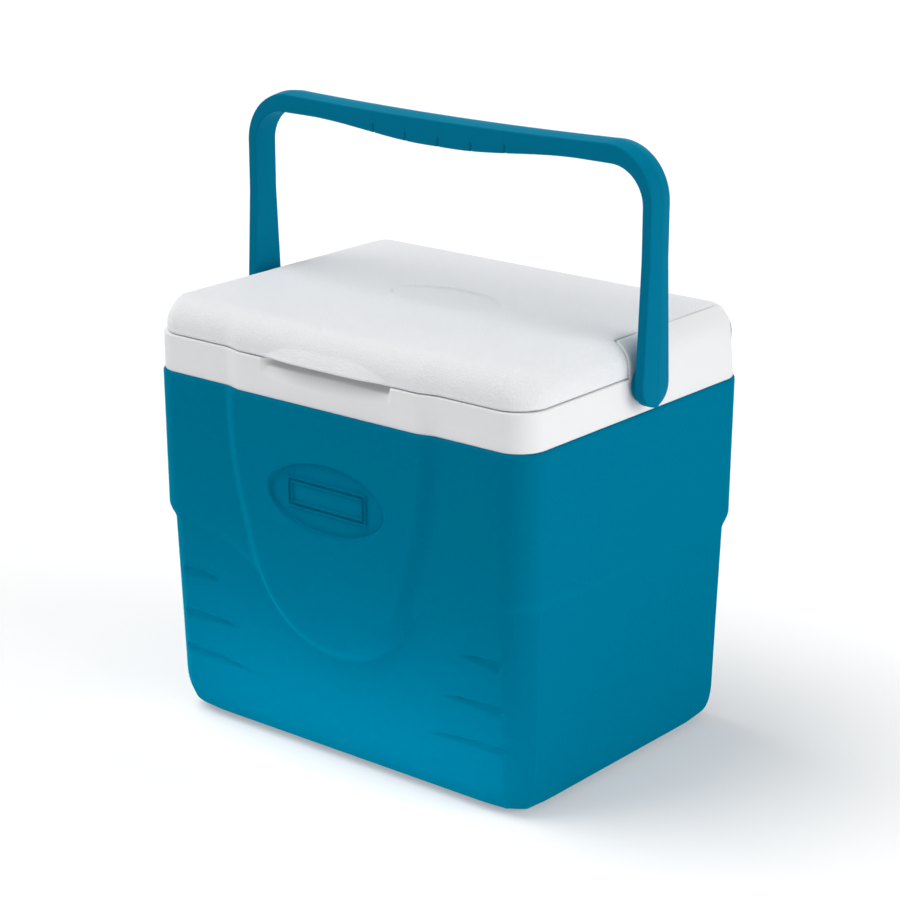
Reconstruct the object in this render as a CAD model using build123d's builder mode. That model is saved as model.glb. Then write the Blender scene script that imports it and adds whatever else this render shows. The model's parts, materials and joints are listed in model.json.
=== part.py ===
from build123d import *
from math import cos, radians, sin, sqrt, tan
import os

os.makedirs("parts", exist_ok=True)

# Personal cooler chest: an insulated tub in a coloured shell, a rear-hinged lid and a bail handle.
# Frame: +Z up, origin on the underside, in line with the handle pivots; the front faces -Y.
# All lengths are in millimetres and all angles in degrees.

# ---------------------------------------------------------------- driving dimensions
# Outer shell
body_width = 285.0          # across the top edge of the shell
body_depth = 216.2          # front to back at the top edge
body_height = 220.6         # underside to the top edge of the shell
corner_radius = 19.4
upper_draft = 0.64          # lean of the walls above the waist
lower_draft = 1.46          # lean of the walls below the waist
waist_drop = 93.2           # from the top edge down to the small step around the body
waist_inset = 2.2
base_round = 15.0
shell_wall = 2.4
shell_edge_round = 1.1

# Sweep of the waist line on the front, from the corners down to the raised panel
sweep_inset = 25.5          # where it starts, in from the side
sweep_radius = 95.0
sweep_end = 54.0

# Raised shield-shaped panel on the front
panel_rise = 3.2
panel_half_width = 73.0
panel_straight = 30.0       # height of its upright upper sides
panel_hip_half_width = 50.3 # where the slanted sides turn into the rounded bottom
panel_hip_drop = 113.3
panel_corner = 28.0
panel_drop = 145.0          # from the top edge of the shell down to its lowest point
panel_slope = 8.5           # sideways spread of its sloped edge over panel_root
panel_root = 8.0            # how deep the sloped edge runs into the body

# Oval badge recess and the plain plate in it
oval_half_width = 44.7
oval_half_height = 21.8
oval_drop = 53.6            # its centre below the top edge
oval_depth = 1.5
plate_width = 60.0
plate_height = 18.6
plate_rise = 0.8

# Leaf-shaped flutes at the lower front corners: each one's length in from the side, the height
# of its tip, and how far its upper and lower edges spread from there at the corner
flutes = [(52.5, 92.8, 4.8, 3.4), (70.5, 65.8, 4.0, 3.8), (81.5, 37.6, 6.8, 3.6)]
flute_depth = 1.5
flute_rake = 0.06           # slope of the flutes' edges at the corners

# Rear guard: the shell's back wall carried up behind the lid
guard_inset = 12.5          # its ends, in from the sides
guard_rise = 32.9           # above the shell's top edge
guard_corner = 6.0
guard_overlap = 2.2         # how far it starts below the shell's top edge

# Inner liner: tub, rim and shoulders
liner_wall = 2.2
rim_rise = 22.9             # of the rim that the lid closes on, above the shell's top edge
rim_inset = 1.2             # rim face behind the shell face
rim_round = 0.8
tongue_drop = 9.0           # how far the rim reaches down inside the shell
side_thickness = 21.5       # from the shell's sides to the tub
front_thickness = 22.1      # from the shell's front and back to the tub
tub_corner = 22.0
tub_floor = 27.0            # top of the tub's floor
tub_draft = 1.5
tub_floor_round = 12.0
shoulder_inset = 11.5       # inner faces of the two shoulders, in from the sides
shoulder_front = 11.8       # their front ends, ahead of the handle pivots
lid_rise = 22.0             # of the lid's and the shoulders' top, above the rim
top_round = 16.5

# Finger scoop in the rim and the pull lip on the lid
scoop_half_width = 48.0
scoop_reach = 8.0
scoop_drop = 7.5
lip_half_width = 47.0
lip_reach = 4.0
lip_rise = 12.5
lip_lift = 0.8              # lip's lower edge above the lid's
lip_backing = 3.0
lip_lean = 0.524            # how far the lip's face falls back for each millimetre of height

# Front bulge of the rim and the lid, in line with the raised panel
bulge_foot = 81.0
bulge_crest = 66.0

# Lid
lid_gap = 0.4               # between the lid and the rim below it
lid_inset = 0.5             # lid face behind the rim face
lid_wall = 2.2
seam_gap = 0.8              # between the lid and the shoulders
plug_drop = 7.5             # how far the lid's inner panel reaches into the tub
plug_gap = 2.5
plug_draft = 5.0
plug_round = 2.0
panel_gap = 0.2             # around the lid's inner panel
lid_oval_half_width = 40.0
lid_oval_half_depth = 20.0
lid_oval_depth = 0.8

# Lid hinge
hinge_drop = 10.5           # hinge axis below the lid's top
hinge_inset = 14.3          # and in from the shell's back
hinge_sweep = 11.0          # everything on the lid below and behind the axis stays inside this radius
hinge_pin_radius = 3.0
hinge_pin_depth = 4.2       # reach into the shoulder
hinge_boss_radius = 6.5
hinge_boss_length = 14.0

# Carry handle
pivot_drop = 4.2            # pivots below the rim's top
pivot_radius = 4.5
pivot_reach = 8.0           # into the shoulder
snap_ring_rise = 0.6
snap_ring_length = 1.6
snap_ring_set = 1.0         # from the pivot's tip to its snap ring
pin_chamfer = 0.6
pivot_socket = 6.0          # into the handle's hub
pivot_boss_wall = 3.0
hub_boss = 3.6              # between the leg and the hub's inner face
bail_rise = 136.1           # from the pivots to the top of the bar
handle_corner = 33.0
leg_thickness = 7.4
leg_width = 18.4
hub_radius = 12.8
leg_flare_height = 72.0     # the leg widens over this height above the pivot
bar_thickness = 12.4
grip_drop = 18.5            # from the top of the bar to the underside of the grip
grip_half_length = 75.0
grip_end_drop = 1.2         # underside of the bar where the grip starts
bar_sag = 2.1
grip_groove_pitch = 24.6
grip_groove_count = 5
grip_groove_width = 1.1
grip_groove_height = 5.0
grip_groove_depth = 1.0
handle_edge_round = 1.6

# Clearances
fit_gap = 0.3               # between fixed pieces
hub_gap = 0.4               # between the handle's hubs and the rim
pin_clearance = 0.06        # radial, where a pin turns
seat_clearance = 0.02       # radial, where a pin is pressed home
foam_gap = 0.3

# ---------------------------------------------------------------- derived sizes
half_width = body_width / 2
half_depth = body_depth / 2
waist_height = body_height - waist_drop
rim_height = body_height + rim_rise
top_height = rim_height + lid_rise
guard_height = body_height + guard_rise
oval_height = body_height - oval_drop
hinge_height = top_height - hinge_drop
hinge_back = half_depth - hinge_inset
pivot_height = rim_height - pivot_drop
handle_height = pivot_height + bail_rise
grip_height = handle_height - grip_drop
sweep_start = half_width - sweep_inset
guard_half_width = half_width - guard_inset
shoulder_inner = half_width - shoulder_inset
tub_width = body_width - 2 * side_thickness
tub_depth = body_depth - 2 * front_thickness
waist_top_inset = (body_height - waist_height) * tan(radians(upper_draft))
lower_width = body_width - 2 * (waist_top_inset + waist_inset)
lower_depth = body_depth - 2 * (waist_top_inset + waist_inset)
lower_corner = corner_radius - waist_top_inset
rim_width = body_width - 2 * rim_inset
rim_depth = body_depth - 2 * rim_inset
rim_corner = corner_radius - rim_inset
rim_half_width = rim_width / 2
rim_half_depth = rim_depth / 2
tongue_inset = shell_wall + fit_gap
deck_bottom = rim_height - liner_wall
lid_bottom = rim_height + lid_gap
lid_half_width = rim_half_width - lid_inset
lid_front = rim_half_depth - lid_inset
lid_back = half_depth - shell_wall - fit_gap - lid_inset
lid_corner = rim_corner - lid_inset
scoop_back = rim_half_depth + panel_rise - scoop_reach - liner_wall
pivot_boss_radius = pivot_radius + pivot_boss_wall
hub_inner = rim_half_width + hub_gap
leg_inner = hub_inner + hub_boss
handle_half_width = leg_inner + leg_thickness


def facing_down(height):
    """A level plane at the given height whose extrusions run downwards."""
    return Plane(origin=(0, 0, height), x_dir=(1, 0, 0), z_dir=(0, 0, -1))


def facing_out(side, x, back, height):
    """A plane square to X on the left (-1) or right (1) side, with extrusions running outwards."""
    return Plane(origin=(side * x, back, height), x_dir=(0, side, 0), z_dir=(side, 0, 0))


def block(plane, width, depth, radius, height, draft=0.0, mode=Mode.ADD):
    """A rounded rectangular block that starts on the plane and narrows by its draft."""
    with BuildSketch(plane) as outline:
        RectangleRounded(width, depth, radius)
    extrude(outline.sketch, amount=height, taper=draft, mode=mode)


def bulged_block(bottom, top, half_x, front, back, radius):
    """A rounded block whose front face stands forward between the bulge's two soft steps."""
    middle = (bulge_foot + bulge_crest) / 2
    left_foot = (-bulge_foot, -front)
    left_middle = (-middle, -front - panel_rise / 2)
    left_crest = (-bulge_crest, -front - panel_rise)
    right_crest = (bulge_crest, -front - panel_rise)
    right_foot = (bulge_foot, -front)
    with BuildSketch(Plane.XY.offset(bottom)) as outline:
        with Locations((0, (back - front) / 2)):
            RectangleRounded(2 * half_x, front + back, radius)
        with BuildLine():
            foot_arc = TangentArc(left_foot, left_middle, tangent=(1, 0))
            crest_arc = TangentArc(left_crest, left_middle, tangent=(-1, 0))
            mirror(foot_arc, about=Plane.YZ)
            mirror(crest_arc, about=Plane.YZ)
            Line(left_crest, right_crest)
            Polyline(left_foot, (-bulge_foot, panel_rise - front),
                     (bulge_foot, panel_rise - front), right_foot)
        make_face()
    extrude(outline.sketch, amount=top - bottom)


def rear_wall(bottom, top, outer_inset, inner_inset, half_x, mode=Mode.ADD):
    """The stretch of a wall along the back, between two insets from the shell's top outline."""
    with BuildSketch(Plane.XY.offset(bottom)) as outline:
        RectangleRounded(body_width - 2 * outer_inset, body_depth - 2 * outer_inset,
                         corner_radius - outer_inset)
        RectangleRounded(body_width - 2 * inner_inset, body_depth - 2 * inner_inset,
                         corner_radius - inner_inset, mode=Mode.SUBTRACT)
        with Locations((0, half_depth)):
            Rectangle(2 * half_x, body_depth / 2, mode=Mode.INTERSECT)
    extrude(outline.sketch, amount=top - bottom, mode=mode)


def bar(plane, radius, length, mode=Mode.ADD):
    """A round bar that starts on the plane."""
    with BuildSketch(plane) as outline:
        Circle(radius)
    extrude(outline.sketch, amount=length, mode=mode)


def crescent(height, face, half_length, reach, backing, direction, run, mode=Mode.ADD):
    """A crescent on the front face, run obliquely up or down from the given height."""
    with BuildSketch(Plane.XY.offset(height)) as outline:
        with BuildLine():
            ThreePointArc((-half_length, -face), (0, -face - reach), (half_length, -face))
            Polyline((half_length, -face), (half_length, -face + backing),
                     (-half_length, -face + backing), (-half_length, -face))
        make_face()
    extrude(outline.sketch, amount=run, dir=direction, mode=mode)


def scoop_pad(grow, mode=Mode.ADD):
    """The thick stretch of the rim behind the finger scoop."""
    foot = rim_height - scoop_drop - liner_wall - grow
    depth = rim_half_depth - scoop_back + grow
    with BuildSketch(Plane.XY.offset(foot)) as pad:
        with Locations((0, depth / 2 - rim_half_depth)):
            Rectangle(2 * (scoop_half_width + liner_wall + grow), depth)
    extrude(pad.sketch, amount=rim_height - foot - liner_wall / 2, mode=mode)


def round_foot(form, radius):
    """Round the lowest edges of a form."""
    fillet(form.faces().sort_by(Axis.Z)[0].edges(), radius)


def round_top(form, radius):
    """Round the highest edges of a form."""
    fillet(form.faces().sort_by(Axis.Z)[-1].edges(), radius)


# ---------------------------------------------------------------- construction forms
# The body above the waist, with the swept waist line and the raised panel on its front.
sweep_drop = sweep_radius - sqrt(sweep_radius**2 - (sweep_start - sweep_end) ** 2)
sweep_low = waist_height - sweep_drop
trim_margin = 12.0
front_lean = radians(upper_draft)
front_plane = Plane(origin=(0, -half_depth - panel_rise, body_height), x_dir=(-1, 0, 0),
                    z_dir=(0, cos(front_lean), sin(front_lean)))

with BuildPart() as upper_form:
    block(facing_down(body_height), body_width, body_depth, corner_radius,
          body_height - sweep_low + trim_margin, upper_draft)
    with BuildSketch(Plane.XZ) as under_sweep:
        with BuildLine():
            side = half_width + trim_margin
            low = sweep_low - 2 * trim_margin
            right_arc = TangentArc((sweep_start, waist_height), (sweep_end, sweep_low),
                                   tangent=(-1, 0))
            mirror(right_arc, about=Plane.YZ)
            Line((-sweep_end, sweep_low), (sweep_end, sweep_low))
            Polyline((sweep_start, waist_height), (side, waist_height), (side, low),
                     (-side, low), (-side, waist_height), (-sweep_start, waist_height))
        make_face()
    extrude(amount=half_depth + trim_margin, mode=Mode.SUBTRACT)
    with BuildSketch(Plane.XZ) as under_waist:
        with Locations((0, (waist_height + low) / 2)):
            Rectangle(2 * side, waist_height - low)
    extrude(amount=-half_depth - trim_margin, mode=Mode.SUBTRACT)
    for depth, spread in ((0, 0), (panel_root, panel_slope)):
        with BuildSketch(front_plane.offset(depth)) as panel_outline:
            shoulder = panel_half_width + spread
            hip = panel_hip_half_width + spread
            with BuildLine():
                Polyline((-hip, -panel_hip_drop), (-shoulder, -panel_straight),
                         (-shoulder, panel_root), (shoulder, panel_root),
                         (shoulder, -panel_straight), (hip, -panel_hip_drop))
                ThreePointArc((hip, -panel_hip_drop), (0, -panel_drop - spread),
                              (-hip, -panel_hip_drop))
            make_face()
            corners = panel_outline.vertices().sort_by(Axis.Y)[0:4]
            fillet(corners, panel_corner)
    loft()
    with BuildSketch(Plane.XY.offset(body_height)):
        Rectangle(2 * body_width, 2 * body_depth)
    extrude(amount=2 * panel_root, mode=Mode.SUBTRACT)
    round_top(upper_form, shell_edge_round)

# The stretch of back wall that stands up behind the lid.
with BuildPart() as rear_guard:
    guard_foot = body_height - guard_overlap
    rear_wall(guard_foot, guard_height, 0, shell_wall, guard_half_width)
    with BuildSketch(Plane.XZ.offset(-body_depth)):
        with Locations((0, guard_height / 2)):
            RectangleRounded(2 * guard_half_width, guard_height, guard_corner)
    extrude(amount=body_depth, mode=Mode.INTERSECT)

# The space inside the shell.
ledge_height = waist_height + shell_wall

with BuildPart() as shell_space:
    block(facing_down(ledge_height), lower_width - 2 * shell_wall, lower_depth - 2 * shell_wall,
          lower_corner - shell_wall, ledge_height - shell_wall, lower_draft)
    round_foot(shell_space, base_round - shell_wall)
    block(facing_down(body_height), body_width - 2 * shell_wall, body_depth - 2 * shell_wall,
          corner_radius - shell_wall, body_height - ledge_height, upper_draft)

# The tub's outside, from the rim down, and its inside.
with BuildPart() as tub_outside:
    block(facing_down(rim_height), tub_width + 2 * liner_wall, tub_depth + 2 * liner_wall,
          tub_corner + liner_wall, rim_height - tub_floor + liner_wall, tub_draft)
    round_foot(tub_outside, tub_floor_round + liner_wall)

with BuildPart() as tub_inside:
    block(facing_down(rim_height), tub_width, tub_depth, tub_corner,
          rim_height - tub_floor, tub_draft)
    round_foot(tub_inside, tub_floor_round)

# The two shoulders: a block as high as the lid, rounded over, with the lid's place taken out.
with BuildPart() as shoulders:
    block(Plane.XY.offset(deck_bottom), rim_width, rim_depth, rim_corner,
          top_height - deck_bottom)
    round_top(shoulders, top_round)
    with BuildSketch(Plane.XY.offset(deck_bottom)):
        Rectangle(2 * shoulder_inner, 2 * rim_depth)
        with Locations((0, -shoulder_front - half_depth)):
            Rectangle(2 * rim_width, body_depth)
    extrude(amount=top_height, mode=Mode.SUBTRACT)


def lid_blank(inset, bottom):
    """The lid's form, held the given inset inside its outer face."""
    crown = top_height - inset
    bulged_block(bottom, crown, lid_half_width - inset, lid_front - inset, lid_back - inset,
                 lid_corner - inset)


def seat_lid(inset):
    """Cut the lid's form to pass between the shoulders and to swing clear behind its hinge."""
    half_narrow = shoulder_inner - seam_gap - inset
    front_end = -shoulder_front - seam_gap - inset
    depth = 2 * half_depth
    for side in (-1, 1):
        with BuildSketch(Plane.XY) as beside:
            with Locations((side * (half_narrow + corner_radius), front_end + depth / 2)):
                Rectangle(2 * corner_radius, depth)
        extrude(beside.sketch, amount=2 * top_height, mode=Mode.SUBTRACT)
    with BuildSketch(Plane.YZ.offset(-half_width)) as under_hinge:
        with Locations((hinge_back + depth / 2, hinge_height - depth / 2)):
            Rectangle(depth, depth)
        with Locations((hinge_back, hinge_height)):
            Circle(hinge_sweep - inset, mode=Mode.SUBTRACT)
    extrude(under_hinge.sketch, amount=body_width, mode=Mode.SUBTRACT)


with BuildPart() as lid_space:
    lid_blank(lid_wall, lid_bottom)
    round_top(lid_space, top_round - lid_wall)
    seat_lid(lid_wall)

# ---------------------------------------------------------------- outer shell
with BuildPart() as outer_shell:
    block(facing_down(waist_height), lower_width, lower_depth, lower_corner, waist_height,
          lower_draft)
    round_foot(outer_shell, base_round)
    # Leaf-shaped flutes that run out round the front corners.
    for length, tip_z, spread_up, spread_down in flutes:
        for side in (-1, 1):
            face_y = -lower_depth / 2 + (waist_height - tip_z) * tan(radians(lower_draft))
            with BuildSketch(Plane.XZ.offset(-face_y - flute_depth)) as flute:
                with BuildLine():
                    tip = (side * (half_width - length), tip_z)
                    upper = (side * half_width, tip_z + spread_up)
                    lower = (side * half_width, tip_z - spread_down)
                    TangentArc(upper, tip, tangent=(-side, flute_rake))
                    TangentArc(lower, tip, tangent=(-side, flute_rake))
                    Line(upper, lower)
                make_face()
            extrude(flute.sketch, amount=2 * flute_depth, mode=Mode.SUBTRACT)
    add(upper_form.part)
    add(shell_space.part, mode=Mode.SUBTRACT)
    add(rear_guard.part)
    # The oval badge recess with its plain plate.
    badge_plane = front_plane.offset(oval_depth)
    with BuildSketch(badge_plane) as badge:
        with Locations((0, oval_height - body_height)):
            Ellipse(oval_half_width, oval_half_height)
            Rectangle(plate_width, plate_height, mode=Mode.SUBTRACT)
    extrude(badge.sketch, amount=-2 * oval_depth, mode=Mode.SUBTRACT)
    with BuildSketch(badge_plane.offset(-plate_rise)) as plate_top:
        with Locations((0, oval_height - body_height)):
            Rectangle(plate_width, plate_height)
    extrude(plate_top.sketch, amount=-2 * oval_depth, mode=Mode.SUBTRACT)
outer_shell.part.label = "outer_shell"

# ---------------------------------------------------------------- body insulation
foam_inset = shell_wall + foam_gap
tongue_inner = tongue_inset + liner_wall + foam_gap
with BuildPart() as body_insulation:
    block(facing_down(ledge_height), lower_width - 2 * foam_inset, lower_depth - 2 * foam_inset,
          lower_corner - foam_inset, ledge_height - foam_inset, lower_draft)
    round_foot(body_insulation, base_round - foam_inset)
    tongue_foot = body_height - tongue_drop - foam_gap
    block(facing_down(tongue_foot), body_width - 2 * foam_inset - 2 * foam_gap,
          body_depth - 2 * foam_inset - 2 * foam_gap, corner_radius - foam_inset - foam_gap,
          tongue_foot - ledge_height, upper_draft)
    block(facing_down(deck_bottom - foam_gap), body_width - 2 * tongue_inner,
          body_depth - 2 * tongue_inner, corner_radius - tongue_inner,
          deck_bottom - foam_gap - tongue_foot)

    # Room for the tub, the pivot bosses and the backing of the finger scoop.
    block(facing_down(rim_height), tub_width + 2 * (liner_wall + foam_gap),
          tub_depth + 2 * (liner_wall + foam_gap), tub_corner + liner_wall + foam_gap,
          rim_height - tub_floor + liner_wall + foam_gap, tub_draft, mode=Mode.SUBTRACT)
    for side in (-1, 1):
        bar(facing_out(side, shoulder_inner - foam_gap, 0, pivot_height),
            pivot_boss_radius + foam_gap, half_width, mode=Mode.SUBTRACT)
    scoop_pad(foam_gap, mode=Mode.SUBTRACT)
body_insulation.part.label = "body_insulation"

# ---------------------------------------------------------------- inner liner
with BuildPart() as inner_liner:
    bulged_block(body_height, rim_height, rim_half_width, rim_half_depth, rim_half_depth,
                 rim_corner)
    round_top(inner_liner, rim_round)
    block(facing_down(body_height), body_width - 2 * tongue_inset, body_depth - 2 * tongue_inset,
          corner_radius - tongue_inset, tongue_drop)
    underside_inset = tongue_inset + liner_wall
    block(facing_down(deck_bottom), body_width - 2 * underside_inset,
          body_depth - 2 * underside_inset, corner_radius - underside_inset,
          deck_bottom, mode=Mode.SUBTRACT)
    add(shoulders.part)
    for side in (-1, 1):
        bar(facing_out(side, shoulder_inner, 0, pivot_height), pivot_boss_radius,
            rim_half_width - shoulder_inner - rim_round)
    scoop_pad(0)
    add(tub_outside.part)
    add(tub_inside.part, mode=Mode.SUBTRACT)
    # Pocket for the shell's rear guard.
    rear_wall(body_height, top_height, -rim_inset, shell_wall + fit_gap,
              guard_half_width + fit_gap, mode=Mode.SUBTRACT)
    # Finger scoop under the lid's lip.
    crescent(rim_height, rim_half_depth + panel_rise, scoop_half_width, -scoop_reach,
             -scoop_reach, (0, -scoop_reach / scoop_drop, -1), 2 * scoop_drop,
             mode=Mode.SUBTRACT)
    # Blind sockets for the handle's pivots, with the groove for their snap ring, and for the
    # lid's hinge pins.
    for side in (-1, 1):
        socket_end = rim_half_width - pivot_reach - fit_gap
        bar(facing_out(side, socket_end, 0, pivot_height), pivot_radius + pin_clearance,
            body_width, mode=Mode.SUBTRACT)
        groove_start = rim_half_width - pivot_reach + snap_ring_set - fit_gap
        bar(facing_out(side, groove_start, 0, pivot_height),
            pivot_radius + snap_ring_rise + pin_clearance,
            snap_ring_length + 2 * fit_gap, mode=Mode.SUBTRACT)
        bar(facing_out(side, shoulder_inner - seam_gap, hinge_back, hinge_height),
            hinge_pin_radius + pin_clearance, seam_gap + hinge_pin_depth + fit_gap,
            mode=Mode.SUBTRACT)
inner_liner.part.label = "inner_liner"

# ---------------------------------------------------------------- lid
lid_side = shoulder_inner - seam_gap
boss_end = lid_side - lid_wall - hinge_boss_length
with BuildPart() as lid_cover:
    lid_blank(0, lid_bottom)
    round_top(lid_cover, top_round)
    seat_lid(0)
    crescent(lid_bottom + lip_lift, lid_front + panel_rise, lip_half_width, lip_reach,
             lip_backing, (0, lip_lean, 1), lip_rise)
    add(lid_space.part, mode=Mode.SUBTRACT)
    for side in (-1, 1):
        bar(facing_out(side, boss_end, hinge_back, hinge_height), hinge_boss_radius,
            lid_side - lid_wall / 2 - boss_end)
        bar(facing_out(side, boss_end + lid_wall, hinge_back, hinge_height),
            hinge_pin_radius + seat_clearance, hinge_boss_length + 2 * lid_wall,
            mode=Mode.SUBTRACT)
    with BuildSketch(Plane.XY.offset(top_height - lid_oval_depth)) as lid_oval:
        Ellipse(lid_oval_half_width, lid_oval_half_depth)
    extrude(lid_oval.sketch, amount=2 * lid_oval_depth, mode=Mode.SUBTRACT)
lid_cover.part.label = "lid_cover"

panel_top = lid_bottom + lid_wall
plug_width = tub_width - 2 * plug_gap
plug_depth = tub_depth - 2 * plug_gap
plug_corner = tub_corner - plug_gap
with BuildPart() as lid_liner:
    lid_blank(lid_wall + panel_gap, lid_bottom)
    seat_lid(lid_wall + panel_gap)
    split(bisect_by=Plane.XY.offset(panel_top), keep=Keep.BOTTOM)
    block(facing_down(panel_top), plug_width, plug_depth, plug_corner, lid_wall + plug_drop,
          plug_draft)
    round_foot(lid_liner, plug_round)
    block(facing_down(panel_top), plug_width - 2 * lid_wall, plug_depth - 2 * lid_wall,
          plug_corner - lid_wall, plug_drop, plug_draft, mode=Mode.SUBTRACT)
lid_liner.part.label = "lid_liner"

with BuildPart() as lid_insulation:
    lid_blank(lid_wall + foam_gap, panel_top + foam_gap)
    round_top(lid_insulation, top_round - lid_wall - foam_gap)
    seat_lid(lid_wall + foam_gap)
    fill_width = plug_width - 2 * (lid_wall + foam_gap)
    fill_depth = plug_depth - 2 * (lid_wall + foam_gap)
    block(facing_down(panel_top + foam_gap), fill_width, fill_depth,
          plug_corner - lid_wall - foam_gap, plug_drop, plug_draft)
    for side in (-1, 1):
        bar(facing_out(side, boss_end - foam_gap, hinge_back, hinge_height),
            hinge_boss_radius + foam_gap, half_width, mode=Mode.SUBTRACT)
    with BuildSketch(Plane.XY.offset(top_height - lid_oval_depth - lid_wall - foam_gap)) as dip:
        Ellipse(lid_oval_half_width + foam_gap, lid_oval_half_depth + foam_gap)
    extrude(dip.sketch, amount=lid_wall, mode=Mode.SUBTRACT)
lid_insulation.part.label = "lid_insulation"

# ---------------------------------------------------------------- carry handle
corner_start = handle_height - handle_corner
grip_end = (grip_half_length, handle_height - bar_thickness - grip_end_drop)
bar_inner = handle_height - bar_thickness
inner_corner = handle_corner - (leg_thickness + bar_thickness) / 2
with BuildPart() as carry_handle:
    with BuildSketch(Plane.XZ) as bail:
        with BuildLine():
            outer_side = Line((handle_half_width, pivot_height), (handle_half_width, corner_start))
            outer_bend = TangentArc(outer_side @ 1, (handle_half_width - handle_corner,
                                                     handle_height), tangent=(0, 1))
            top_edge = ThreePointArc(outer_bend @ 1, (0, handle_height - bar_sag),
                                     (handle_corner - handle_half_width, handle_height))
            inner_side = Line((leg_inner, pivot_height), (leg_inner, bar_inner - inner_corner))
            inner_bend = TangentArc(inner_side @ 1, (leg_inner - inner_corner, bar_inner),
                                    tangent=(0, 1))
            under_bar = Line(inner_bend @ 1, grip_end)
            foot = Line(outer_side @ 0, inner_side @ 0)
            mirror((outer_side, outer_bend, inner_side, inner_bend, under_bar, foot),
                   about=Plane.YZ)
            grip = ThreePointArc(grip_end, (0, grip_height), (-grip_end[0], grip_end[1]))
        make_face()
    extrude(amount=leg_width / 2, both=True)
    front_and_back = carry_handle.faces().sort_by(Axis.Y)
    fillet(front_and_back[0].edges() + front_and_back[-1].edges(), handle_edge_round)
    for side in (-1, 1):
        with BuildSketch(facing_out(side, leg_inner, 0, pivot_height)) as flare:
            Circle(hub_radius)
            with Locations((0, leg_flare_height)):
                Rectangle(leg_width - 2 * handle_edge_round, 2 * handle_edge_round)
            make_hull()
        extrude(flare.sketch, amount=leg_thickness)
        bar(facing_out(side, hub_inner, 0, pivot_height), hub_radius - handle_edge_round,
            leg_inner - hub_inner)
        bar(facing_out(side, hub_inner, 0, pivot_height), pivot_radius + seat_clearance,
            pivot_socket, mode=Mode.SUBTRACT)
    # Finger grooves across the front, the back and the underside of the grip.
    groove_foot = grip_height - grip_groove_depth
    with BuildSketch(Plane.XY.offset(groove_foot)) as grooves:
        with GridLocations(grip_groove_pitch, leg_width, grip_groove_count, 2):
            Rectangle(grip_groove_width, 2 * grip_groove_depth)
    extrude(grooves.sketch, amount=grip_groove_height + grip_groove_depth, mode=Mode.SUBTRACT)
carry_handle.part.label = "carry_handle"

# ---------------------------------------------------------------- pivots and hinge pins
handle_pivots = []
hinge_pins = []
for side, hand in ((-1, "left"), (1, "right")):
    tip = rim_half_width - pivot_reach
    with BuildPart() as handle_pivot:
        bar(facing_out(side, tip, 0, pivot_height), pivot_radius,
            hub_inner + pivot_socket - fit_gap - tip)
        chamfer(handle_pivot.faces().sort_by(Axis.X)[0 if side > 0 else -1].edges(), pin_chamfer)
        bar(facing_out(side, tip + snap_ring_set, 0, pivot_height),
            pivot_radius + snap_ring_rise, snap_ring_length)
    handle_pivot.part.label = f"handle_pivot_{hand}"
    handle_pivots.append(handle_pivot.part)
    with BuildPart() as lid_hinge_pin:
        bar(facing_out(side, boss_end + lid_wall + fit_gap, hinge_back, hinge_height),
            hinge_pin_radius, shoulder_inner + hinge_pin_depth - boss_end - lid_wall - fit_gap)
        chamfer(lid_hinge_pin.faces().sort_by(Axis.X)[-1 if side > 0 else 0].edges(),
                pin_chamfer)
    lid_hinge_pin.part.label = f"lid_hinge_pin_{hand}"
    hinge_pins.append(lid_hinge_pin.part)

# ---------------------------------------------------------------- one file for each sub-part
pieces = [outer_shell.part, body_insulation.part, inner_liner.part, lid_cover.part,
          lid_insulation.part, lid_liner.part, carry_handle.part]
for piece in pieces + handle_pivots + hinge_pins:
    export_step(piece, f"parts/{piece.label}.step")
    print(f"{piece.label}: {len(piece.solids())} solid, {piece.volume / 1000:.1f} cm3")
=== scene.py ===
# %% [markdown]
# # A personal cooler chest
# The cooler is a coloured shell with a white tub snapped into it, a white lid that turns on two stub
# pins at the back, and a bail handle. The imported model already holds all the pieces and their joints.
# This notebook gives each visible piece its finished surface. It works in millimetres, because the
# features are a few millimetres large, and turns them into Blender's metres when a mesh is made.

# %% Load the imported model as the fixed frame
import json
from math import acos, cos, degrees, radians, sin, sqrt, tan

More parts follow.
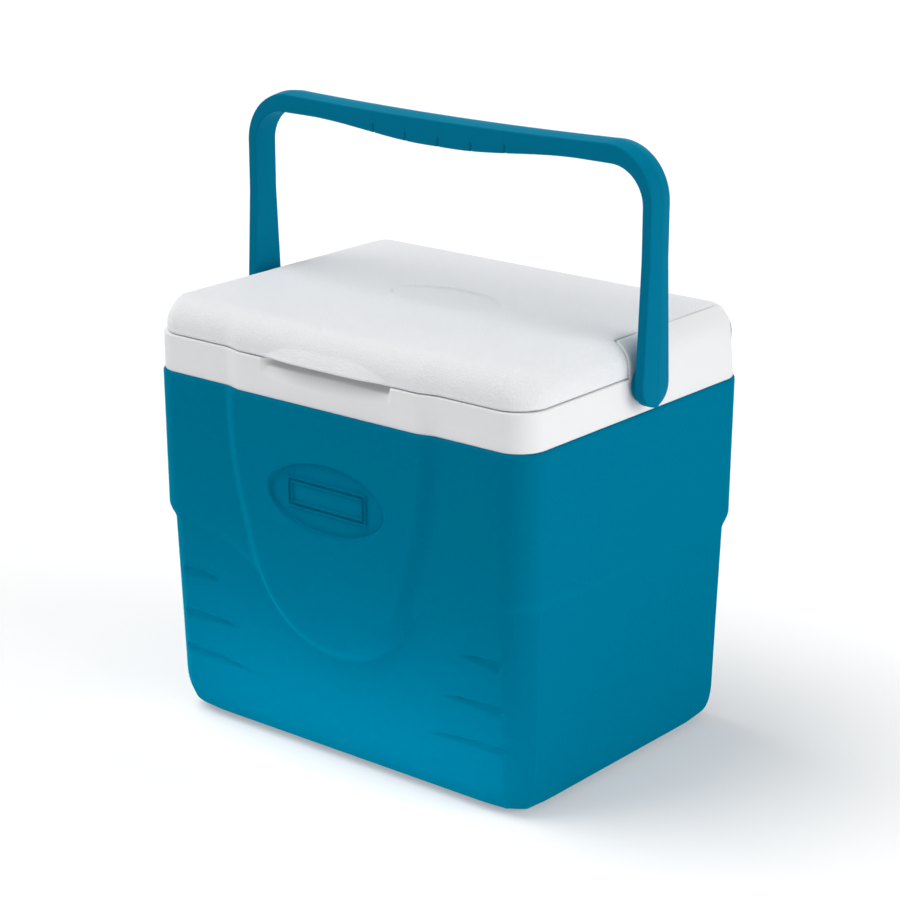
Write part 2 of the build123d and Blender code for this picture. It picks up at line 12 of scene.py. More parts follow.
import bpy
import numpy as np
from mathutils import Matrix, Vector


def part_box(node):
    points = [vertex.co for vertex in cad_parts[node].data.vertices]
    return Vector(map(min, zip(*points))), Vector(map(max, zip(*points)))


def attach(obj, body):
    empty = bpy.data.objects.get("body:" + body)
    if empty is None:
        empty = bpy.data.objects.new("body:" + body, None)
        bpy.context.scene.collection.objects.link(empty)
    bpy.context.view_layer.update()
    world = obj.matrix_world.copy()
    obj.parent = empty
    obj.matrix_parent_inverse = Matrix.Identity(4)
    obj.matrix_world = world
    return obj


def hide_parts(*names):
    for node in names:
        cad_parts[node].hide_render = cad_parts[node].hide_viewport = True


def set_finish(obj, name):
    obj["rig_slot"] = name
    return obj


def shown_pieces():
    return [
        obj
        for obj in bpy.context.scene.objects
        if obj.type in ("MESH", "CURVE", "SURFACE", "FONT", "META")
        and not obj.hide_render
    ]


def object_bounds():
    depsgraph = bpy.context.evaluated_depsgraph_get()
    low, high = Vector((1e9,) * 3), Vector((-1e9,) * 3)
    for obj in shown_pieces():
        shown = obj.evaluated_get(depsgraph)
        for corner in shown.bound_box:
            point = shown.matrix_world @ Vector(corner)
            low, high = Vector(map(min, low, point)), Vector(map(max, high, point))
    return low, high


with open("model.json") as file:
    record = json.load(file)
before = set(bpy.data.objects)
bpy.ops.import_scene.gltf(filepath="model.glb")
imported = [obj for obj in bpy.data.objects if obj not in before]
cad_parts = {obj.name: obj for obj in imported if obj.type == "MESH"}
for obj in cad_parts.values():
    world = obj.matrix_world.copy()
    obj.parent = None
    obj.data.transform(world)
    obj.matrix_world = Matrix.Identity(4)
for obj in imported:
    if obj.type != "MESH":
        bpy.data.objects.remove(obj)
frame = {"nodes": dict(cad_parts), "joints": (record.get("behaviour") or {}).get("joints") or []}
cad_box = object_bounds()
MM = 0.001


def box_mm(node):
    """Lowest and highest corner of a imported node, in millimetres."""
    return [np.array(corner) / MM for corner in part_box(node)]


shell_high = box_mm("outer_shell")[1]
lid_high = box_mm("lid_cover")[1]
bail_high = box_mm("carry_handle")[1]

# %% [markdown]
# ## Camera
# A long lens from a little above shows the front and the right side. The camera is placed by its
# angles and distance round a point near the middle of the cooler, and a Track To would do the same.

# %% Place the camera
CAMERA_AZIMUTH = 39.3265
CAMERA_ELEVATION = 17.8997
CAMERA_DISTANCE = 1557.3 * MM
CAMERA_LENS = 103.1
AIM_OFFSET = Vector((1.19, 3.63, -17.5)) * MM

aim = (cad_box[0] + cad_box[1]) / 2 + AIM_OFFSET
azimuth, elevation = radians(CAMERA_AZIMUTH), radians(CAMERA_ELEVATION)
towards_camera = Vector((sin(azimuth) * cos(elevation), -cos(azimuth) * cos(elevation), sin(elevation)))
camera = bpy.data.objects.new("camera", bpy.data.cameras.new("camera"))
camera.data.lens = CAMERA_LENS
camera.location = aim + towards_camera * CAMERA_DISTANCE
camera.rotation_euler = (-towards_camera).to_track_quat("-Z", "Y").to_euler()
bpy.context.scene.collection.objects.link(camera)
bpy.context.scene.camera = camera
print("camera at", [round(v, 3) for v in camera.location])

# %% [markdown]
# ## Two helpers for moulded surfaces
# Every large piece here is a wall that runs round a rounded rectangle. So a ring of stations goes
# round that outline, each with a core point on the inner, sharp rectangle and a direction outwards,
# and a surface point is the core plus a reach in that direction. Making the reach a formula of the
# place lets one mesh carry the steps, panels and recesses of the mould with even quads and no
# booleans. The second helper skins such rings into one closed mesh.

# %% Helpers: stations round a rounded rectangle, and a skin over rings
def smooth(low, high, value):
    """0 below low, 1 above high, with an S-curve between."""
    t = np.clip((value - low) / (high - low), 0, 1)
    return t * t * (3 - 2 * t)


def spread(low, high, step):
    """Even values from low to high, about a step apart."""
    return np.linspace(low, high, max(2, int(round((high - low) / step)) + 1))


def stations(core_x, core_y, sides, turns):
    """Core points and outward directions, anticlockwise from the front left. sides holds the stations
    along the front, right, back and left, and turns those of the corner after each, in degrees."""
    starts = [(-core_x, -core_y), (core_x, -core_y), (core_x, core_y), (-core_x, core_y)]
    cores, angles = [], []
    for number, (side, turn) in enumerate(zip(sides, turns)):
        start, end = np.array(starts[number]), np.array(starts[(number + 1) % 4])
        length = np.linalg.norm(end - start)
        for place in side:
            cores.append(start + (end - start) * place / length)
            angles.append(90.0 * (number - 1))
        for angle in turn:
            cores.append(end)
            angles.append(90.0 * (number - 1) + angle)
    angles = np.radians(angles)
    return np.array(cores), np.stack([np.cos(angles), np.sin(angles)], axis=1)


def skin(name, rings, body, slot, replaced=()):
    """One closed mesh over rings of points given in millimetres, lowest first, that rides on a body."""
    rings = np.asarray(rings, float) * MM
    rows, columns, _ = rings.shape
    index = np.arange(rows * columns).reshape(rows, columns)
    after = np.roll(index, -1, axis=1)
    quads = np.stack([index[:-1], after[:-1], after[1:], index[1:]], axis=-1).reshape(-1, 4)
    faces = quads.tolist() + [index[0, ::-1].tolist(), index[-1].tolist()]
    mesh = bpy.data.meshes.new(name)
    mesh.from_pydata(rings.reshape(-1, 3).tolist(), [], faces)
    mesh.polygons.foreach_set("use_smooth", [True] * len(mesh.polygons))
    mesh.update()
    piece = bpy.data.objects.new(name, mesh)
    bpy.context.scene.collection.objects.link(piece)
    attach(piece, body)
    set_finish(piece, slot)
    if replaced:
        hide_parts(*replaced)
    print(f"{name}: {len(mesh.polygons)} faces on {body}")
    return piece


def ring(cores, directions, reach, z):
    """A ring of points with that reach from the cores; reach and z are numbers or one for each station."""
    plan = cores + directions * np.broadcast_to(reach, len(cores))[:, None]
    return np.column_stack([plan, np.broadcast_to(z, len(cores))])


# %% [markdown]
# ## The shell
# The shell is one moulding. Its walls lean inwards a little towards the base so that it leaves the
# mould, and step in at a waist. On the front, the waist line sweeps down to a raised shield, and
# leaf-shaped flutes run out to the corners. All of that is a reach formula.

# %% Shell: sizes, and how far the wall stands inside its top outline
SHELL_CORNER = 19.4
TOP_EDGE = 220.6
UPPER_DRAFT = tan(radians(0.64))
LOWER_DRAFT = tan(radians(1.46))
WAIST_HEIGHT = 127.4
WAIST_INSET = 2.2
WAIST_ROLL = 8.0            # height over which the upper wall rolls in to the waist
WAIST_BEAD = 0.4
SWEEP_START = 117.0
SWEEP_RADIUS = 95.0
SWEEP_END = (46.0, 96.0)    # where it runs under the shield
LOW_CORNER_GROWTH = 3.6     # extra radius of the corners below the waist
FRONT_LEAN = 0.017          # how much more the lower front and back lean than the sides

shell_half_x, shell_half_y = shell_high[0], shell_high[1]
upper_foot_inset = (TOP_EDGE - WAIST_HEIGHT) * UPPER_DRAFT


def upper_inset(z):
    return np.maximum(TOP_EDGE - z, 0) * UPPER_DRAFT


def above_waist(across, z):
    """Distance above the waist line, which sweeps down in an arc towards the middle of the front."""
    arc = np.hypot(across - SWEEP_START, z - WAIST_HEIGHT + SWEEP_RADIUS) - SWEEP_RADIUS
    past_end = 0.58 * (across - SWEEP_END[0]) + 0.81 * (z - SWEEP_END[1])
    return np.where(across < SWEEP_START, np.minimum(arc, past_end), z - WAIST_HEIGHT)


def wall_inset(across, z):
    """The plain wall with its waist. The roll ends on the lower wall in a fine raised bead."""
    lower = upper_foot_inset + WAIST_INSET + (WAIST_HEIGHT - z) * LOWER_DRAFT
    above = above_waist(across, z)
    roll = 1 - (1 - np.clip(above / WAIST_ROLL, 0, 1)) ** 2
    return lower + (upper_inset(z) - lower) * roll - WAIST_BEAD * np.exp(-(above / 0.9) ** 2)


print("waist insets:", wall_inset(np.array([142.0]), np.array([100.0, 127.0, 135.0, 200.0])).round(2))

# %% [markdown]
# The shield's outline is a short list of points with a smooth line through them. Its edge is a soft
# S-shaped bank, so the surface needs each point's distance from that line, inside or out.

# %% Shell: the raised shield
SHIELD_RISE = 3.2
SHIELD_CROWN = 0.4
SHIELD_BANK = 5.6           # half the width of its soft bank
SHIELD_OUTLINE = [(75.6, 235), (75.6, 215), (75.2, 198), (73.6, 181), (70.4, 164), (65.9, 146), (60.9, 127),
                  (55.0, 109.5), (47.6, 95.6), (37.9, 85.0), (25.6, 77.2), (12.5, 73.0), (0, 71.7)]


def smooth_line(points, steps=24):
    """A Catmull-Rom line through the points, which it passes exactly."""
    points = np.array(points, float)
    padded = np.vstack([2 * points[0] - points[1], points, 2 * points[-1] - points[-2]])
    t = np.linspace(0, 1, steps, endpoint=False)[:, None]
    runs = []
    for a, b, c, d in zip(padded, padded[1:], padded[2:], padded[3:]):
        runs.append(0.5 * (2 * b + (c - a) * t + (2 * a - 5 * b + 4 * c - d) * t**2
                           + (3 * b - a - 3 * c + d) * t**3))
    return np.vstack(runs + [points[-1:]])


mirrored = [(-x, z) for x, z in SHIELD_OUTLINE[-2::-1]]
shield_line = smooth_line(SHIELD_OUTLINE + mirrored)


def inside_shield(x, z):
    """Signed distance from the shield's outline, positive inside it."""
    shape = np.broadcast(x, z).shape
    x, z = np.broadcast_to(x, shape).ravel(), np.broadcast_to(z, shape).ravel()
    nearest = np.full(x.size, 1e9)
    for px, pz in shield_line:
        nearest = np.minimum(nearest, (x - px) ** 2 + (z - pz) ** 2)
    right = shield_line[: len(shield_line) // 2 + 1]
    half = np.interp(z, right[::-1, 1], right[::-1, 0], left=-1)
    return (np.sqrt(nearest) * np.where(np.abs(x) < half, 1, -1)).reshape(shape)


print("shield line:", len(shield_line), "points")

# %% [markdown]
# Each flute is a shallow leaf. It starts as a point, widens towards the corner, and ends there in a
# soft round. Its upper edge is a crisp lip that stands out a little, and its lower edge is a soft bank.

# %% Shell: flutes and the oval badge
FLUTE_DEPTH, FLUTE_LIP = 1.3, 0.45
FLUTES = [  # tip (x, z), middle of the round end (x, z), and its radius
    (90, 93.4, 120.6, 93.8, 3.9),
    (74, 65.4, 121.2, 66.4, 3.5),
    (60, 38.2, 123.0, 42.2, 3.2),
]
OVAL_CENTRE, OVAL_HALF_X, OVAL_HALF_Z, OVAL_DEPTH = 167.0, 44.7, 21.8, 2.4
FRAME_HALF_X, FRAME_HALF_Z, FRAME_RISE = 30.0, 9.3, 1.3
FRAME_LINE, FRAME_SPACE = 1.3, 1.2


def flute_depth(x, z):
    """Depth of the leaves: a line from the tip to the round end that grows wider and bows upwards."""
    across = np.abs(x)
    depth = np.zeros(np.broadcast(x, z).shape)
    for tip_x, tip_z, end_x, end_z, radius in FLUTES:
        share = np.clip((across - tip_x) / (end_x - tip_x), 0, 1)
        middle = tip_z + (end_z - tip_z) * share + 1.3 * np.sin(np.pi * share)
        half = 0.6 + (radius - 0.6) * share**0.8
        beyond = np.hypot(across - np.clip(across, tip_x, end_x), z - middle) - half
        bank = np.where(z > middle, 1.0, 2.8)
        leaf = FLUTE_DEPTH * smooth(-0.3, 1, -beyond / bank)
        lip = FLUTE_LIP * np.exp(-((beyond - 0.5) / 0.8) ** 2) * (z > middle)
        depth = depth + (leaf - lip) * smooth(0, 0.35, share)
    return depth


def badge_depth(x, z):
    """The oval recess, with a double raised frame round a plain field."""
    up = z - OVAL_CENTRE
    far = np.hypot(x / OVAL_HALF_X, up / OVAL_HALF_Z)
    oval = (far - 1) * far * OVAL_HALF_X * OVAL_HALF_Z / np.hypot(x * OVAL_HALF_Z / OVAL_HALF_X,
                                                                  up * OVAL_HALF_X / OVAL_HALF_Z + 1e-6)
    recess = OVAL_DEPTH * (1 - smooth(-1.1, 0.3, oval))
    frames = 0
    for inset in (0, FRAME_LINE + FRAME_SPACE):
        edge = np.maximum(np.abs(x) - FRAME_HALF_X + inset, np.abs(up) - FRAME_HALF_Z + inset)
        line = smooth(-FRAME_LINE, -FRAME_LINE + 0.5, edge) * (1 - smooth(-0.4, 0.1, edge))
        frames = np.maximum(frames, line)
    return recess - FRAME_RISE * frames


def front_relief(x, z):
    """How far the front stands out from, or behind, the plain wall."""
    bank = smooth(-SHIELD_BANK, SHIELD_BANK, inside_shield(x, z))
    crown = SHIELD_CROWN * (1 - (x / 75) ** 2)
    plain = wall_inset(np.abs(x), z)
    shield = upper_inset(z) - SHIELD_RISE - crown + badge_depth(x, z)
    return bank * (plain - shield) - flute_depth(x, z)


# %% [markdown]
# The rows and stations are packed close where there is detail and far apart on the plain sides. The
# rear wall stands up behind the lid, so its stations simply have a higher top, and two stations side
# by side make the vertical edge where that starts.

# %% Shell: the mesh
SHELL_WALL = 2.4
BASE_ROUND, BASE_CORNER_HEIGHT = 14.6, 25.0
BASE_CORNER_REACH = 36.0    # from the middle of a corner to where its taller base round has run out
BASE_PLAN_RADIUS = 6.0      # least corner radius on the underside
SHELL_LIP_ROUND = 1.8
GUARD_HALF_X, GUARD_CORNER = 131.4, 6.0
DETAIL_TOP = 203.0

core_x, core_y = shell_half_x - SHELL_CORNER, shell_half_y - SHELL_CORNER
front_places = np.unique(np.concatenate([spread(0, core_x - 46, 0.9), spread(core_x - 46, core_x + 46, 0.42),
                                         spread(core_x + 46, 2 * core_x, 0.9)]).round(4))
side_places = spread(0, 2 * core_y, 8)
back_places = spread(0, 2 * core_x, 8)
quarter = spread(0, 90, 3.0)[1:-1]
front_turn = spread(0, 90, 1.8)[1:-1]
guard_angle = degrees(acos((GUARD_HALF_X - core_x) / SHELL_CORNER))
guard_turn = [a for a in spread(guard_angle, 90, 2.0)[:-1]]
rear_turn = [a for a in quarter if a < guard_angle - 1] + [guard_angle - 0.4] + guard_turn
left_rear_turn = [90 - a for a in rear_turn[::-1]]
cores, directions = stations(core_x, core_y, [front_places, side_places, back_places, side_places],
                             [front_turn, rear_turn, left_rear_turn, front_turn])
at_front = directions[:, 1] < -1e-6
full_x = cores[:, 0] + directions[:, 0] * SHELL_CORNER
across = np.where(at_front, np.abs(full_x), shell_half_x)
in_guard = (directions[:, 1] > 0.3) & (np.abs(full_x) < GUARD_HALF_X + 0.01)
past_corner = np.clip(np.abs(full_x) - GUARD_HALF_X + GUARD_CORNER, 0, GUARD_CORNER)
guard_top = shell_high[2] - GUARD_CORNER + np.sqrt(GUARD_CORNER**2 - past_corner**2)
top = np.where(in_guard, guard_top, TOP_EDGE)

corner_share = np.abs(directions).sum(axis=1) - 1


def shell_inset(z):
    """The plain wall's inset at each station. Below the waist corners are rounder, and the front leans."""
    low_wall = 1 - np.clip(above_waist(across, z) / WAIST_ROLL, 0, 1)
    down = np.maximum(WAIST_HEIGHT - z, 0)
    lean = FRONT_LEAN * down * np.abs(directions[:, 1])
    return wall_inset(across, z) + low_wall * LOW_CORNER_GROWTH * corner_share + lean


base_angles = np.radians(spread(0, 90, 5))
turned = np.degrees(np.arctan2(np.abs(directions[:, 1]), np.abs(directions[:, 0])))
from_corner = SHELL_CORNER * np.radians(np.abs(turned - 45))
from_corner += core_x - np.abs(cores[:, 0]) + core_y - np.abs(cores[:, 1])
past_corner_round = smooth(6, BASE_CORNER_REACH, from_corner)
base_height = BASE_CORNER_HEIGHT - (BASE_CORNER_HEIGHT - BASE_ROUND) * past_corner_round


def base_ring(reach, z):
    """A ring near the underside. Where a reach is below the least plan radius, the cores move in instead."""
    shift = max(BASE_PLAN_RADIUS - reach.min(), 0)
    moved = cores * (1 - shift / np.array([core_x, core_y]))
    return ring(moved, directions, reach + shift, z)


detail_rows = np.unique(np.concatenate([spread(BASE_ROUND, 143, 0.85), spread(143, 191, 0.42),
                                        spread(191, DETAIL_TOP, 1.0)]).round(4))[1:]
rings = []
for share in (0.15, 0.6, 0.97):
    flat = base_ring(SHELL_CORNER - shell_inset(0) - BASE_ROUND, 0)
    rings.append(flat * [share, share, 1])
for angle in base_angles:
    z = base_height * (1 - cos(angle))
    rings.append(base_ring(SHELL_CORNER - shell_inset(z) - BASE_ROUND * (1 - sin(angle)), z))
for row in detail_rows:
    z = np.maximum(row, base_height + (row - BASE_ROUND) * 0.1)
    reach = SHELL_CORNER - shell_inset(z) + np.where(at_front, front_relief(full_x, z), 0)
    rings.append(ring(cores, directions, reach, z))
for share in spread(0, 1, 1 / 14)[1:]:
    z = DETAIL_TOP + (top - SHELL_LIP_ROUND - DETAIL_TOP) * share
    reach = SHELL_CORNER - upper_inset(z) + np.where(at_front, front_relief(full_x, z), 0)
    rings.append(ring(cores, directions, reach, z))
lip_reach = SHELL_CORNER + np.where(at_front, front_relief(full_x, top), 0)
for angle in np.radians([18, 36, 54, 72, 90]):
    z = top - SHELL_LIP_ROUND * (1 - sin(angle))
    rings.append(ring(cores, directions, lip_reach - SHELL_LIP_ROUND * (1 - cos(angle)), z))
inner_rows = [(0.0, top), (0.3, top - 0.5), (0.3, TOP_EDGE - 6), (0.3, WAIST_HEIGHT + 4), (0.3, WAIST_HEIGHT),
              (0.3, 32.0), (3.0, 14.0), (9.0, 5.0), (20.0, SHELL_WALL)]
for extra, z in inner_rows:
    z = z * np.ones(len(cores))
    behind = shell_inset(z) + SHELL_WALL + extra
    rings.append(ring(cores, directions, SHELL_CORNER - behind, z))
rings.append(rings[-1] * [0.1, 0.1, 1])
skin("shell", rings, "body", "shell_plastic", ["outer_shell"])

# %% [markdown]
# ## The tub and its rim
# The white liner is one moulding. It starts as the tub, folds over the foam as a deck, and comes down
# outside as the rim with a tongue in the shell. Beside the lid it rises as two shoulders, which carry
# on the lid's rounded edge and end in a rounded wall in front. The finger scoop is pressed into the
# front of the rim, below the lid's lip.

# %% Rim: outline, shoulders and scoop
RIM_CORNER = 18.2
RIM_FOOT, RIM_TOP = 220.6, 243.5
TOP_ROUND, ROUND_FOOT = 16.5, 249.0
SHOULDER_X, SHOULDER_FRONT, SHOULDER_EDGE = 131.0, -11.8, 1.3
SCOOP_HALF_X, SCOOP_DROP, SCOOP_SLOPE, SCOOP_SLOT = 49.0, 13.0, 0.5, 5.5
BULGE_RISE, BULGE_FOOT, BULGE_CREST = 3.2, 81.0, 66.0


def blunt_arc(x, half, rise):
    """Height of an arc that is flat in its middle and steep at its ends; below 0 outside it."""
    return rise * (1 - np.abs(x / half) ** 4)


def soft_max(a, b, width):
    return (a + b + np.sqrt((a - b) ** 2 + width**2)) / 2


def bulge(x):
    return BULGE_RISE * (1 - smooth(BULGE_CREST, BULGE_FOOT, np.abs(x)))


def scoop(x, z):
    """Depth of the finger scoop: a leaning face, with a slot along its top that runs under the lid."""
    foot = RIM_TOP - SCOOP_DROP + 3.4 * (x / SCOOP_HALF_X) ** 2
    ends = 0.9 * (SCOOP_HALF_X - np.abs(x))
    depth = -soft_max(-SCOOP_SLOPE * (z - foot), -ends, 0.8)
    slot = SCOOP_SLOT * smooth(RIM_TOP - 4.6, RIM_TOP - 2.6, z) * smooth(0, 6, ends)
    return soft_max(0, depth, 0.25) + slot


def side_stations(half_y, wall_y):
    """Places along the right side, with three close together where an end wall stands at wall_y."""
    steps = [0, SHOULDER_EDGE * (1 - sqrt(0.5)), SHOULDER_EDGE]
    return np.concatenate([spread(-half_y, wall_y - 0.03, 8), wall_y + np.array(steps),
                           spread(wall_y + 8, half_y, 8)]) + half_y


rim_side = side_stations(core_y, SHOULDER_FRONT)
rim_front = spread(0, 2 * core_x, 1.3)
shoulder_angle = 60.4       # where the shoulder's inner face runs out of the corner
rim_rear_turn = [*spread(0, shoulder_angle, 3)[1:], *spread(shoulder_angle + 0.3, 90, 3)[:-1]]
rim_left_turn = [90 - a for a in rim_rear_turn[::-1]]
rim_sides = [rim_front, rim_side, back_places, (2 * core_y - rim_side)[::-1]]
rim_turns = [front_turn, rim_rear_turn, rim_left_turn, front_turn]
rim_cores, rim_out = stations(core_x, core_y, rim_sides, rim_turns)
rim_x = rim_cores[:, 0] + rim_out[:, 0] * RIM_CORNER
rim_y = rim_cores[:, 1] + rim_out[:, 1] * RIM_CORNER
shoulder = (np.abs(rim_out[:, 0]) > cos(radians(shoulder_angle + 0.1))) & (rim_y > SHOULDER_FRONT - 0.01)
shoulder &= rim_out[:, 1] > -0.01
end_round = np.zeros(len(rim_x))
for step, share in ((0, 1), (SHOULDER_EDGE * (1 - sqrt(0.5)), 1 - sqrt(0.5))):
    at_step = shoulder & (np.abs(rim_cores[:, 1] - SHOULDER_FRONT - step) < 0.01)
    end_round[at_step] = SHOULDER_EDGE * share
print("shoulder stations:", int(shoulder.sum()), "of", len(rim_x))

# %% Tub and rim: the mesh
TUB_HALF_X, TUB_HALF_Y, TUB_CORNER = 121.0, 86.0, 22.0
TUB_DRAFT, TUB_FLOOR, TUB_ROUND, TUB_WALL = tan(radians(1.5)), 27.0, 12.0, 2.2
MOUTH_ROUND, RIM_EDGE = 2.5, 1.0
DECK_START = 10.3           # from the rim's outline in to where the deck starts
REAR_CORNER = 6.0           # growth of the shoulders' rear corner radius up to their rounded top

rim_front_side = rim_out[:, 1] < -1e-6
rim_bulge = np.where(rim_front_side, bulge(rim_x), 0)
behind_guard = np.where((rim_out[:, 1] > 0.3) & (np.abs(rim_x) < 130.3), 1.5, 0)
rear_share = np.where(rim_out[:, 1] > 0, np.abs(rim_out).sum(axis=1) - 1, 0)
tub_cores = rim_cores * [(TUB_HALF_X - TUB_CORNER) / core_x, (TUB_HALF_Y - TUB_CORNER) / core_y]


def tub_ring(extra, z, share=1.0):
    """A ring round the tub, extra outside its tapered wall."""
    reach = TUB_CORNER - (RIM_TOP - z) * TUB_DRAFT + extra
    return ring(tub_cores, rim_out, reach, z) * [share, share, 1]


def rim_face(z):
    """Reach of the rim's outer face."""
    hollow = np.where(rim_front_side, scoop(rim_x, z), 0)
    rounder = REAR_CORNER * np.clip((z - RIM_FOOT) / (ROUND_FOOT - RIM_FOOT), 0, 1) * rear_share
    end_edge = end_round * smooth(RIM_TOP - 1.5, RIM_TOP + 1, z)
    return RIM_CORNER + rim_bulge - hollow - behind_guard - rounder - end_edge


def rim_ring(reach, z):
    return ring(rim_cores, rim_out, reach, z)


outside = TUB_FLOOR - TUB_WALL
rings = [tub_ring(TUB_WALL - 14, outside, 0.1), tub_ring(TUB_WALL - 14, outside, 0.95),
         tub_ring(TUB_WALL, outside + 14), tub_ring(TUB_WALL, RIM_TOP - 2.4)]
tongue_reach = RIM_CORNER - 1.5
inside_reach = tongue_reach - 2.2 - 8 * rim_front_side * (np.abs(rim_x) < 56)
rings += [rim_ring(inside_reach, RIM_TOP - 2.4), rim_ring(inside_reach, 211.6),
          rim_ring(tongue_reach + 0 * rim_x, 211.6)]
rings += [rim_ring(tongue_reach + rim_bulge * 0.6, RIM_FOOT),
          rim_ring(rim_face(RIM_FOOT) - 0.6, RIM_FOOT), rim_ring(rim_face(RIM_FOOT) - 0.2, RIM_FOOT + 0.2),
          rim_ring(rim_face(RIM_FOOT), RIM_FOOT + 0.6)]
face_top = np.where(shoulder, ROUND_FOOT, RIM_TOP - RIM_EDGE)
for share in spread(0, 1, 1 / 26)[1:]:
    z = RIM_FOOT + 0.6 + (face_top - RIM_FOOT - 0.6) * share
    rings.append(rim_ring(rim_face(z), z))
shoulder_reach = (SHOULDER_X - core_x) / np.maximum(np.abs(rim_out[:, 0]), 0.1)
shoulder_cut = np.where(shoulder, RIM_CORNER - shoulder_reach, DECK_START)
shoulder_cut = np.maximum(shoulder_cut, 0.05)
shrunk = TOP_ROUND - end_round
edge_reach = rim_face(face_top)
cut = np.maximum(shoulder_cut - end_round - (RIM_CORNER - edge_reach - end_round) * shoulder, 0.02)
end_angle = np.arccos(np.clip((TOP_ROUND - cut + 0.5) / shrunk, -1, 1))
for share in spread(0, 1, 1 / 14)[1:]:
    angle = np.where(shoulder, end_angle, np.pi / 2) * share
    high_reach = edge_reach + end_round - TOP_ROUND + shrunk * np.cos(angle)
    high_z = ROUND_FOOT + shrunk * np.sin(angle)
    low_reach = edge_reach - RIM_EDGE * (1 - np.cos(angle))
    low_z = RIM_TOP - RIM_EDGE * (1 - np.sin(angle))
    rings.append(rim_ring(np.where(shoulder, high_reach, low_reach), np.where(shoulder, high_z, low_z)))
crest = ROUND_FOOT + shrunk * np.sin(end_angle)
for number, share in enumerate((0.06, 0.12, 0.3, 0.6, 0.9, 1.0)):
    inset = cut - (0.15 if number == 0 else 0)
    high_z = crest - 0.1 if number == 0 else crest - 0.6 - (crest - 0.6 - RIM_TOP) * (share - 0.12) / 0.88
    low_reach = edge_reach - RIM_EDGE + (RIM_CORNER - DECK_START - edge_reach + RIM_EDGE) * share
    reach = np.where(shoulder, edge_reach + end_round - inset, low_reach)
    rings.append(rim_ring(reach, np.where(shoulder, high_z, RIM_TOP)))
mouth = tub_ring(MOUTH_ROUND, RIM_TOP)
rings += [rings[-1] + (mouth - rings[-1]) * share for share in (0.5, 0.9)]
for angle in np.radians([0, 30, 60, 90]):
    rings.append(tub_ring(MOUTH_ROUND * (1 - sin(angle)), RIM_TOP - MOUTH_ROUND * (1 - cos(angle))))
rings += [tub_ring(0, z) for z in (238, 200, 150, 100, 60, 43, TUB_FLOOR + TUB_ROUND)]
for angle in np.radians(spread(0, 90, 10))[1:]:
    z = TUB_FLOOR + TUB_ROUND * (1 - sin(angle))
    rings.append(tub_ring(-TUB_ROUND * (1 - cos(angle)), z))
rings += [rings[-1] * [0.93, 0.93, 1], rings[-1] * [0.1, 0.1, 1]]
skin("tub_and_rim", rings, "body", "liner_plastic", ["inner_liner"])

# %% [markdown]
# Foam is blown into the space between the shell and the tub, so its block follows both with a little
# air left for shrinkage. It only shows if the cooler is cut open.

# %% Foam between the shell and the tub
rings = [rim_ring(2.0, 5.0) * [0.1, 0.1, 1]]
foam_side = [(30, 5), (18, 10), (11.5, 28), (8.8, 120), (4.6, 137), (4.2, 209)]     # inset and height
rings += [rim_ring(SHELL_CORNER - inset, z) for inset, z in foam_side]
rings += [tub_ring(TUB_WALL + 0.6, 209), tub_ring(TUB_WALL + 0.6, 38), tub_ring(TUB_WALL - 13, outside - 0.6)]
rings.append(rings[-1] * [0.1, 0.1, 1])
skin("body_foam", rings, "body", "foam", ["body_insulation"])

# %% [markdown]
# ## The lid
# The lid cover is a shallow dish turned over, with a large round along its edge. Behind the handle it
# is narrower, so that it drops between the shoulders, and its rear edge is cut to an arc about the
# hinge pins, so that it clears the shell as it turns. A lip for the fingers grows out of the front.

# %% Lid: reach of the cover's side, from the form and what is cut away
LID_CORNER, LID_EDGE, LID_WALL = 17.7, 1.4, 2.2
LID_BOTTOM, LID_CREST = 243.9, 265.5
LIP_HALF_X, LIP_REACH, LIP_LEAN, LIP_FOOT, LIP_ROUND = 47.5, 4.2, 0.45, 244.1, 1.8
NOTCH_X, NOTCH_FRONT = 130.2, -12.6
LID_SHIFT = -0.75           # the lid's middle, forward of the shell's
LID_CORNER_GROWTH = (3.7, 3.0)      # extra radius of the front corners at the bottom edge, and further up
HINGE_Y, HINGE_Z = np.array(frame["joints"][0]["pos_m"][1:]) / MM
HINGE_CLEAR = 10.8

lid_core_y = core_y + LID_SHIFT
lid_side = np.concatenate([spread(-lid_core_y, NOTCH_FRONT - LID_SHIFT - 1.2, 8),
                           NOTCH_FRONT - LID_SHIFT + np.array([-0.5, -0.03, 0.0, 1.0]),
                           spread(0, lid_core_y, 8)]) + lid_core_y
notch_angle = degrees(acos((NOTCH_X - core_x) / LID_CORNER))
lid_rear_turn = [*spread(0, notch_angle, 3)[1:], *spread(notch_angle + 0.3, 90, 3)[:-1]]
lid_left_turn = [90 - a for a in lid_rear_turn[::-1]]
lid_sides = [rim_front, lid_side, back_places, (2 * lid_core_y - lid_side)[::-1]]
lid_turns = [front_turn, lid_rear_turn, lid_left_turn, front_turn]
lid_cores, lid_out = stations(core_x, lid_core_y, lid_sides, lid_turns)
lid_cores = lid_cores + [0, LID_SHIFT]
lid_x = lid_cores[:, 0] + lid_out[:, 0] * LID_CORNER
lid_y = lid_cores[:, 1] + lid_out[:, 1] * LID_CORNER
lid_front_side = lid_out[:, 1] < -1e-6
lid_bulge = np.where(lid_front_side, bulge(lid_x), 0)
front_corner_share = np.where(lid_front_side, np.abs(lid_out).sum(axis=1) - 1, 0)
notched = (lid_y > NOTCH_FRONT - 0.01) & (lid_out[:, 1] > -0.01) & (np.abs(lid_out[:, 0]) > 0.05)
notch_reach = np.where(notched, (NOTCH_X - core_x) / np.maximum(np.abs(lid_out[:, 0]), 0.05), 60)
end_soft = np.where(np.abs(lid_cores[:, 1] - NOTCH_FRONT + 0.03) < 0.01, 0.4, 0)


